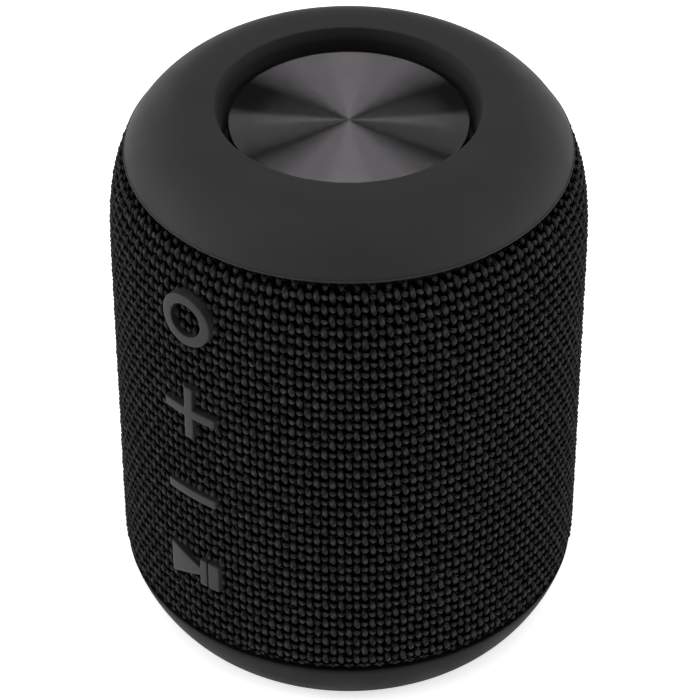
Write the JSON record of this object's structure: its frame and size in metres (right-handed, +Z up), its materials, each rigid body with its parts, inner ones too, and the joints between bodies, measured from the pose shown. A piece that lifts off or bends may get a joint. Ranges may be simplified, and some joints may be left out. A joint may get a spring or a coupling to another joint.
{
  "type": "portable bluetooth speaker",
  "caption": "Upright cylindrical speaker in a woven cloth sleeve, with a domed soft-touch cap around a sprung metal radiator disc and a column of raised buttons.",
  "frame": {"origin": "centre of the foot pad's resting face", "axes": "+Z up along the body's axis, -Y towards the button column, +Y towards the port flap, +X to the right when the buttons face the viewer"},
  "size_m": [0.09, 0.091, 0.1145],
  "materials": {
    "soft_touch_plastic": "soft-touch matte",
    "cloth": "coarse plain weave",
    "silicone": "matte",
    "foot_rubber": "matte",
    "inner_plastic": "moulded",
    "spun_aluminium": "spun, dark anodised",
    "steel": "plated",
    "ferrite": "sintered, matt",
    "copper": "wound wire",
    "cone_paper": "pressed",
    "spider_cloth": "resin-treated",
    "foam": "closed-cell foam",
    "circuit_board": "solder mask",
    "tinned_metal": "tinned",
    "chip_plastic": "moulded",
    "lamp_plastic": "clear",
    "cell_wrap": "shrink wrap",
    "lead_insulation": "satin",
    "ribbon": "polyimide film"
  },
  "bodies": {
    "speaker": {"top_cap": "soft_touch_plastic", "cloth_sleeve": "cloth", "grille_shell": "inner_plastic", "base_cap": "soft_touch_plastic", "foot_pad": "foot_rubber", "port_panel": "inner_plastic", "radiator_surround": "foot_rubber", "radiator_frame": "inner_plastic", "radiator_gasket": "foam", "enclosure_body": "inner_plastic", "main_board": "circuit_board", "bluetooth_module": "tinned_metal", "amplifier_chip": "chip_plastic", "usb_charging_socket": "tinned_metal", "aux_jack": "chip_plastic", "button_board": "circuit_board", "power_switch": "tinned_metal", "volume_up_switch": "tinned_metal", "volume_down_switch": "tinned_metal", "play_pause_switch": "tinned_metal", "status_led": "lamp_plastic", "microphone": "tinned_metal", "battery_cell": "cell_wrap", "battery_cradle": "inner_plastic", "battery_lead": "lead_insulation", "button_ribbon": "ribbon", "left_driver_basket": "inner_plastic", "left_driver_top_plate": "steel", "left_driver_magnet": "ferrite", "left_driver_yoke": "steel", "left_driver_surround": "foot_rubber", "left_driver_spider": "spider_cloth", "left_driver_lead": "lead_insulation", "right_driver_basket": "inner_plastic", "right_driver_top_plate": "steel", "right_driver_magnet": "ferrite", "right_driver_yoke": "steel", "right_driver_surround": "foot_rubber", "right_driver_spider": "spider_cloth", "right_driver_lead": "lead_insulation", "base_screw_1": "steel", "radiator_screw_1": "steel", "base_screw_2": "steel", "radiator_screw_2": "steel", "base_screw_3": "steel", "radiator_screw_3": "steel", "base_screw_4": "steel", "radiator_screw_4": "steel"},
    "power_button": {"power_button": "silicone", "power_button_cloth_inlay": "cloth"},
    "volume_up_button": {"volume_up_button": "silicone"},
    "volume_down_button": {"volume_down_button": "silicone"},
    "play_pause_button": {"play_pause_button": "silicone"},
    "passive_radiator": {"radiator_disc": "spun_aluminium", "radiator_mass": "steel"},
    "left_driver_cone": {"left_driver_cone": "cone_paper", "left_driver_voice_coil": "copper"},
    "right_driver_cone": {"right_driver_cone": "cone_paper", "right_driver_voice_coil": "copper"},
    "port_flap": {"port_flap": "foot_rubber"}
  },
  "joints": [
    {"name": "power_button_press", "type": "slide", "parent": "speaker", "child": "power_button", "axis": [0, 1, 0], "range_m": [0, 0.0005], "stiffness_N_per_m": 1500},
    {"name": "volume_up_button_press", "type": "slide", "parent": "speaker", "child": "volume_up_button", "axis": [0, 1, 0], "range_m": [0, 0.0005], "stiffness_N_per_m": 1500},
    {"name": "volume_down_button_press", "type": "slide", "parent": "speaker", "child": "volume_down_button", "axis": [0, 1, 0], "range_m": [0, 0.0005], "stiffness_N_per_m": 1500},
    {"name": "play_pause_button_press", "type": "slide", "parent": "speaker", "child": "play_pause_button", "axis": [0, 1, 0], "range_m": [0, 0.0005], "stiffness_N_per_m": 1500},
    {"name": "radiator_travel", "type": "slide", "parent": "speaker", "child": "passive_radiator", "axis": [0, 0, 1], "range_m": [-0.002, 0.002], "stiffness_N_per_m": 2500, "deforming": ["radiator_surround"]},
    {"name": "left_cone_travel", "type": "slide", "parent": "speaker", "child": "left_driver_cone", "axis": [-1, 0, 0], "range_m": [-0.0015, 0.0015], "stiffness_N_per_m": 1300, "deforming": ["left_driver_surround", "left_driver_spider"]},
    {"name": "right_cone_travel", "type": "slide", "parent": "speaker", "child": "right_driver_cone", "axis": [1, 0, 0], "range_m": [-0.0015, 0.0015], "stiffness_N_per_m": 1300, "deforming": ["right_driver_surround", "right_driver_spider"]},
    {"name": "port_flap_hinge", "type": "hinge", "parent": "speaker", "child": "port_flap", "pos_m": [-0.0133, 0.04226, 0.028], "axis": [0, 0, 1], "range_deg": [0, 90]}
  ]
}
